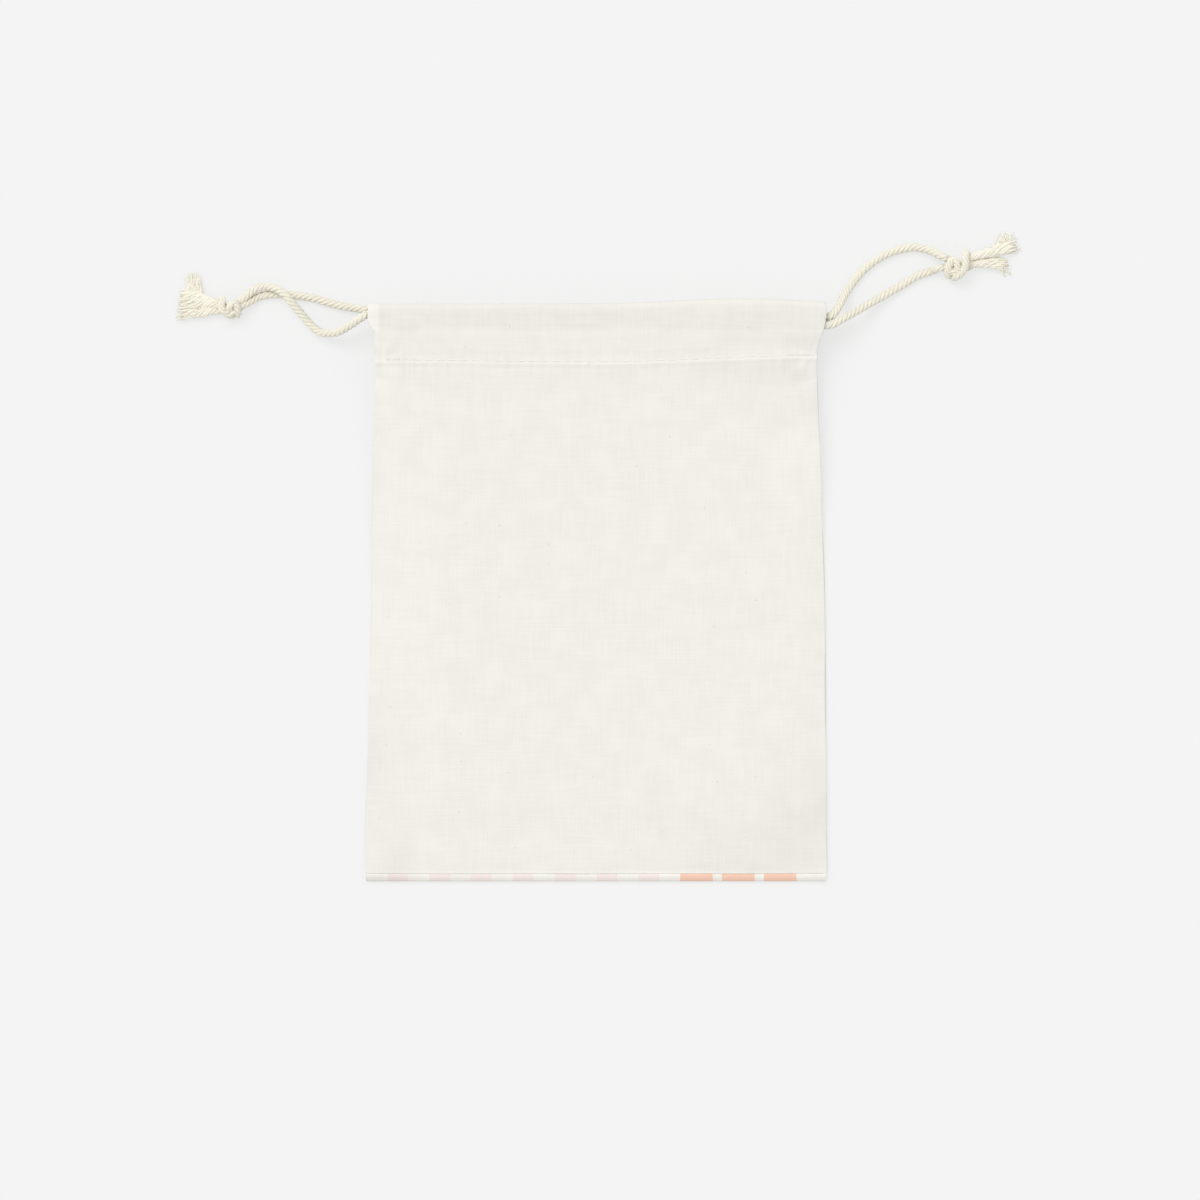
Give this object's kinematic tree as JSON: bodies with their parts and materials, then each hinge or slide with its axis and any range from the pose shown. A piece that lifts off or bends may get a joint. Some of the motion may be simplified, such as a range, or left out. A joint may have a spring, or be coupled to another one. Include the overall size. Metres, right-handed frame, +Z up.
{
  "type": "drawstring pouch",
  "caption": "Flat cotton drawstring pouch with a stitched casing along its mouth and two knotted pull cords that leave it on opposite sides.",
  "frame": {"origin": "middle of the pouch's outline as it lies flat, at the level of the surface below it; the free cord outside the slits is not counted", "axes": "+X towards the picture's right, across the pouch; +Y from the bottom seam towards the mouth; +Z up, out of the unprinted panel that the picture shows"},
  "size_m": [0.2922, 0.225, 0.0136],
  "materials": {
    "cloth": "matte",
    "cord": "matte",
    "thread": "satin"
  },
  "bodies": {
    "pouch": {"front_panel": "cloth", "back_panel": "cloth", "front_casing_thread": "thread", "back_casing_thread": "thread", "left_seam_thread": "thread", "right_seam_thread": "thread", "bottom_seam_thread": "thread"},
    "left_mouth_corner": {"left_slit_thread": "thread"},
    "right_mouth_corner": {"right_slit_thread": "thread"},
    "left_cord": {"left_cord_front_run": "cord", "left_cord_back_run": "cord", "left_cord_bight": "cord", "left_cord_front_strand": "cord", "left_cord_back_strand": "cord", "left_cord_knot": "cord", "left_cord_upper_tail": "cord", "left_cord_lower_tail": "cord"},
    "right_cord": {"right_cord_front_run": "cord", "right_cord_back_run": "cord", "right_cord_bight": "cord", "right_cord_front_strand": "cord", "right_cord_back_strand": "cord", "right_cord_knot": "cord", "right_cord_upper_tail": "cord", "right_cord_lower_tail": "cord"}
  },
  "joints": [
    {"name": "left_pull", "type": "slide", "parent": "pouch", "child": "left_cord", "axis": [-1, 0, 0], "range_m": [0, 0.045]},
    {"name": "right_pull", "type": "slide", "parent": "pouch", "child": "right_cord", "axis": [1, 0, 0], "range_m": [0, 0.045]},
    {"name": "right_corner_gather", "type": "slide", "parent": "pouch", "child": "right_mouth_corner", "axis": [-1, 0, 0], "range_m": [0, 0.045], "deforming": ["front_panel", "back_panel", "front_casing_thread", "back_casing_thread", "right_seam_thread"]},
    {"name": "left_corner_gather", "type": "slide", "parent": "pouch", "child": "left_mouth_corner", "axis": [1, 0, 0], "range_m": [0, 0.045], "deforming": ["front_panel", "back_panel", "front_casing_thread", "back_casing_thread", "left_seam_thread"]}
  ],
  "couplings": [
    {"joint": "right_corner_gather", "follows": "left_pull", "ratio": 1},
    {"joint": "left_corner_gather", "follows": "right_pull", "ratio": 1}
  ]
}
